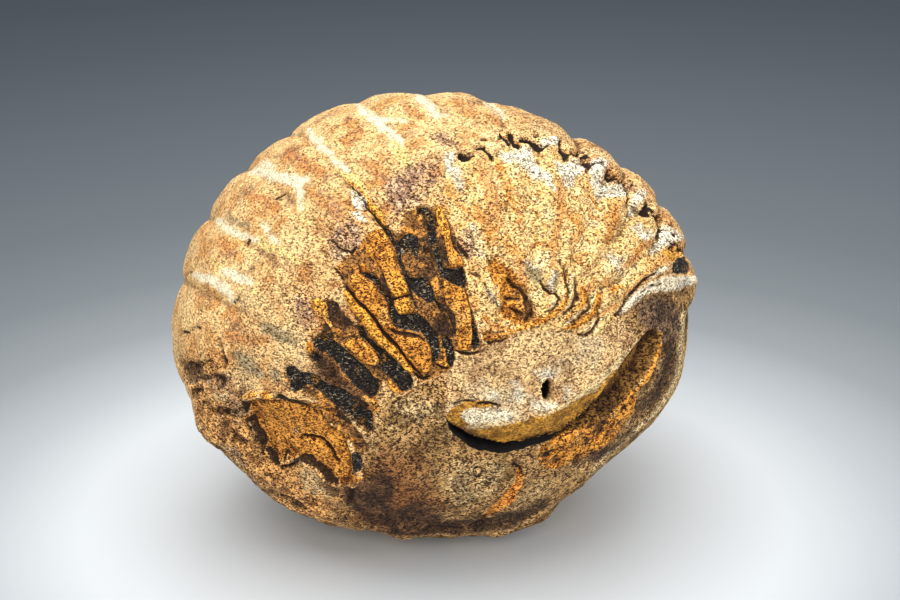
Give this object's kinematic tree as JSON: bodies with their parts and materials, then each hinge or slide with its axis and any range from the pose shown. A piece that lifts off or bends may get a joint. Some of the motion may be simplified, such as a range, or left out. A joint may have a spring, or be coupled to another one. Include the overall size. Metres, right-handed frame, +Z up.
{
  "type": "enrolled trilobite fossil",
  "caption": "Rolled-up trilobite fossil: one rounded stone with ringed back, a flank worn open to fanned ribs, and a lipped tail tucked under the head.",
  "frame": {"origin": "middle of the lump's outline seen from above, on the surface it rests on", "axes": "+Z up; +X towards the tail end of the coil, -X towards the nape; -Y is the side with the worn flank and the lipped gap"},
  "size_m": [0.0515, 0.0435, 0.0431],
  "materials": {
    "fossil_stone": "matte"
  },
  "bodies": {
    "root": {"trilobite": "fossil_stone"}
  },
  "joints": []
}
